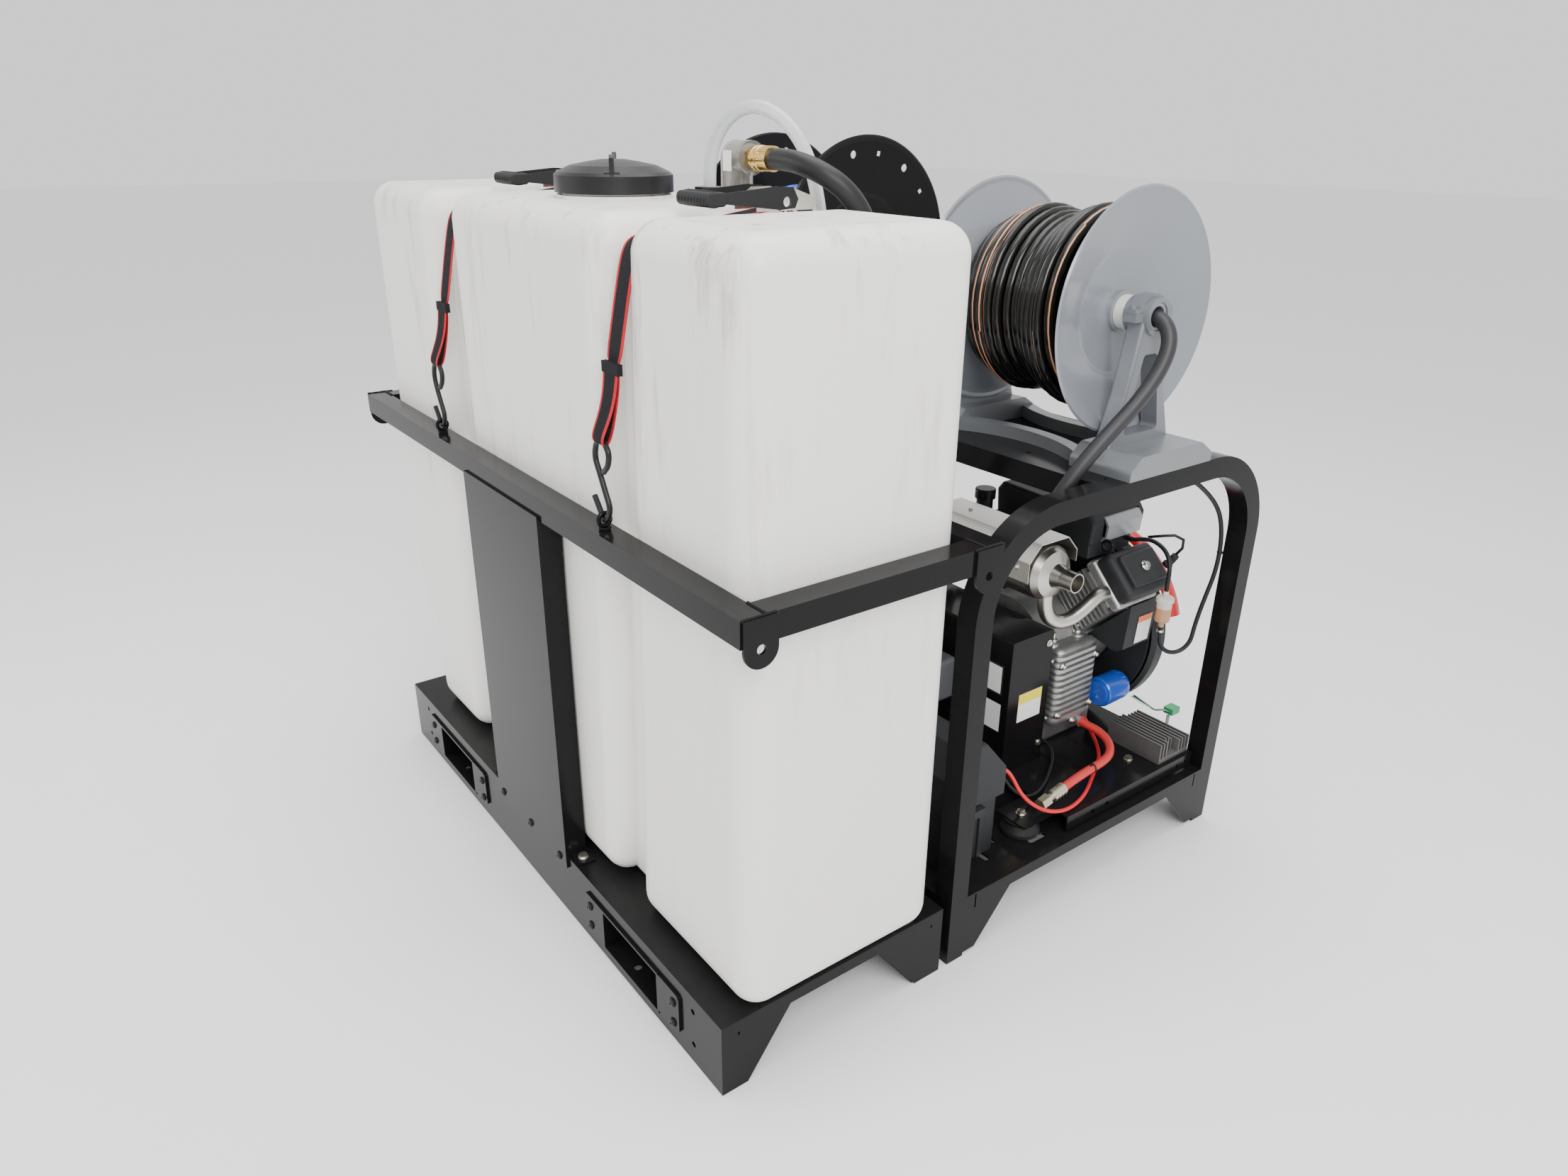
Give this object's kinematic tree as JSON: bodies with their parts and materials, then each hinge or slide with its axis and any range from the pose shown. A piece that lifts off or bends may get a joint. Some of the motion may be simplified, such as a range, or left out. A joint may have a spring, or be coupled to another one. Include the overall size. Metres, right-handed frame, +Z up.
{
  "type": "pressure washer",
  "caption": "Skid-mounted pressure washer: strapped water tank on a skid with fork pockets, beside an engine-driven pump on a hoop-framed skid with hose reels above.",
  "frame": {"origin": "middle of the footprint on the floor", "axes": "+X along the tank from its notched end towards the end with the feed hose, +Y from the tank skid's front plate towards the engine, +Z up"},
  "size_m": [1.6456, 1.446, 1.6171],
  "materials": {
    "tank_base": "semi-gloss black powder coat",
    "fork_pockets": "semi-gloss black powder coat",
    "upper_frame": "semi-gloss black powder coat",
    "frame_bolts": "black painted button heads",
    "hex_bolts": "zinc plated",
    "ratchet_frames": "zinc plated",
    "s_hooks": "black coated wire hooks",
    "straps": "polyester webbing",
    "tank": "natural polyethylene",
    "tank_fittings": "black polypropylene",
    "lid_gasket": "soft seal",
    "tank_lid": "black polyethylene",
    "ratchet_spool_far": "bright plated",
    "ratchet_spool_near": "bright plated",
    "ratchet_handle_far": "black grip on a plated handle",
    "ratchet_handle_near": "black grip on a plated handle",
    "sight_elbow": "smoky clear plastic",
    "brass_fittings": "machined",
    "swivel_nut": "machined",
    "drain_fitting": "plated crimp fitting",
    "clear_hose": "clear braided vinyl",
    "supply_hose": "satin black",
    "reel_feed_hose": "wrapped black",
    "fuel_line_lower": "black",
    "fuel_line_upper": "black",
    "drain_hose": "red",
    "cable_red": "red insulation",
    "cable_black": "black insulation",
    "machine_deck": "semi-gloss black powder coat",
    "hoops": "semi-gloss black powder coat",
    "reel_bridge": "semi-gloss black powder coat",
    "engine_plate": "semi-gloss black powder coat",
    "belt_guard": "semi-gloss black powder coat",
    "isolators": "rubber",
    "crankshaft": "machined steel and cast pulley",
    "pump_pulley": "cast",
    "drive_belts": "V-belt",
    "pump_body": "cast case",
    "pump_head": "forged",
    "engine_block": "bare castings",
    "valve_covers": "black moulded covers",
    "engine_shrouds": "black",
    "air_cleaner": "moulded",
    "air_latch": "grey moulded band",
    "oil_cap": "moulded",
    "muffler": "heat-stained steel",
    "heat_shield": "bare pressed sheet",
    "oil_filter": "blue",
    "fuel_filter": "clear bowl with fuel in it",
    "rectifier": "finned casting",
    "battery_box": "moulded",
    "battery_lid": "moulded",
    "grey_reel_drum": "grey powder coat",
    "grey_reel_hose": "glossy black hose wound on the drum",
    "grey_reel_stand": "grey painted casting",
    "reel_bushes": "white bearing plastic",
    "bearing_caps": "grey painted casting",
    "black_reel_drum": "black powder coat",
    "black_reel_hose": "blue hose wound on the drum",
    "black_reel_stand": "black powder coat"
  },
  "bodies": {
    "frame": {"tank_base": "tank_base", "fork_pockets": "fork_pockets", "upper_frame": "upper_frame", "frame_bolts": "frame_bolts", "hex_bolts": "hex_bolts", "ratchet_frames": "ratchet_frames", "s_hooks": "s_hooks", "straps": "straps", "tank": "tank", "tank_fittings": "tank_fittings", "sight_elbow": "sight_elbow", "brass_fittings": "brass_fittings", "drain_fitting": "drain_fitting", "clear_hose": "clear_hose", "supply_hose": "supply_hose", "reel_feed_hose": "reel_feed_hose", "fuel_line_lower": "fuel_line_lower", "fuel_line_upper": "fuel_line_upper", "drain_hose": "drain_hose", "cable_red": "cable_red", "cable_black": "cable_black", "machine_deck": "machine_deck", "hoops": "hoops", "reel_bridge": "reel_bridge", "engine_plate": "engine_plate", "belt_guard": "belt_guard", "isolators": "isolators", "drive_belts": "drive_belts", "pump_body": "pump_body", "pump_head": "pump_head", "engine_block": "engine_block", "valve_covers": "valve_covers", "engine_shrouds": "engine_shrouds", "air_cleaner": "air_cleaner", "muffler": "muffler", "heat_shield": "heat_shield", "oil_filter": "oil_filter", "fuel_filter": "fuel_filter", "rectifier": "rectifier", "battery_box": "battery_box", "grey_reel_stand": "grey_reel_stand", "reel_bushes": "reel_bushes", "bearing_caps": "bearing_caps", "black_reel_stand": "black_reel_stand"},
    "lid_seal": {"lid_gasket": "lid_gasket"},
    "lid": {"tank_lid": "tank_lid"},
    "spool_far": {"ratchet_spool_far": "ratchet_spool_far"},
    "handle_far": {"ratchet_handle_far": "ratchet_handle_far"},
    "spool_near": {"ratchet_spool_near": "ratchet_spool_near"},
    "handle_near": {"ratchet_handle_near": "ratchet_handle_near"},
    "fill_nut": {"swivel_nut": "swivel_nut"},
    "crank": {"crankshaft": "crankshaft"},
    "pump_shaft": {"pump_pulley": "pump_pulley"},
    "battery_cover": {"battery_lid": "battery_lid"},
    "air_band": {"air_latch": "air_latch"},
    "filler_cap": {"oil_cap": "oil_cap"},
    "grey_reel": {"grey_reel_drum": "grey_reel_drum", "grey_reel_hose": "grey_reel_hose"},
    "black_reel": {"black_reel_drum": "black_reel_drum", "black_reel_hose": "black_reel_hose"}
  },
  "joints": [
    {"name": "lid_lift", "type": "slide", "parent": "frame", "child": "lid_seal", "axis": [0, 0, 1], "range_m": [0, 0.018]},
    {"name": "lid_turn", "type": "hinge", "parent": "lid_seal", "child": "lid", "pos_m": [0.02185, -0.445, 1.48], "axis": [0, 0, 1], "range_deg": [0, 1080]},
    {"name": "spool_turn_far", "type": "hinge", "parent": "frame", "child": "spool_far", "pos_m": [-0.32415, -0.361, 1.462], "axis": [1, 0, 0], "continuous": true},
    {"name": "handle_far_swing", "type": "hinge", "parent": "frame", "child": "handle_far", "pos_m": [-0.32415, -0.361, 1.462], "axis": [1, 0, 0], "range_deg": [-150, 0]},
    {"name": "spool_turn_near", "type": "hinge", "parent": "frame", "child": "spool_near", "pos_m": [0.40385, -0.361, 1.462], "axis": [1, 0, 0], "continuous": true},
    {"name": "handle_near_swing", "type": "hinge", "parent": "frame", "child": "handle_near", "pos_m": [0.40385, -0.361, 1.462], "axis": [1, 0, 0], "range_deg": [-105, 0]},
    {"name": "fill_nut_turn", "type": "hinge", "parent": "frame", "child": "fill_nut", "pos_m": [0.27685, -0.298, 1.522], "axis": [1, 0, 0], "continuous": true},
    {"name": "crank_turn", "type": "hinge", "parent": "frame", "child": "crank", "pos_m": [0.37685, 0.387, 0.44], "axis": [0, 1, 0], "continuous": true},
    {"name": "pump_turn", "type": "hinge", "parent": "frame", "child": "pump_shaft", "pos_m": [0.13185, 0.277, 0.38], "axis": [0, 1, 0], "continuous": true},
    {"name": "battery_cover_lift", "type": "slide", "parent": "frame", "child": "battery_cover", "axis": [0, 0, 1], "range_m": [0, 0.15]},
    {"name": "air_band_swing", "type": "hinge", "parent": "frame", "child": "air_band", "pos_m": [0.52685, 0.544, 0.716], "axis": [0, 1, 0], "range_deg": [0, 60]},
    {"name": "filler_cap_turn", "type": "hinge", "parent": "frame", "child": "filler_cap", "pos_m": [0.23085, 0.405, 0.752], "axis": [0, 0, 1], "range_deg": [0, 90]},
    {"name": "grey_reel_turn", "type": "hinge", "parent": "frame", "child": "grey_reel", "pos_m": [0.44885, 0.345, 1.247], "axis": [1, 0, 0], "continuous": true},
    {"name": "black_reel_turn", "type": "hinge", "parent": "frame", "child": "black_reel", "pos_m": [-0.36615, 0.345, 1.297], "axis": [1, 0, 0], "continuous": true}
  ],
  "couplings": [
    {"joint": "lid_lift", "follows": "lid_turn", "m_per_rad": 0.00095493},
    {"joint": "pump_turn", "follows": "crank_turn", "ratio": 0.47368}
  ]
}
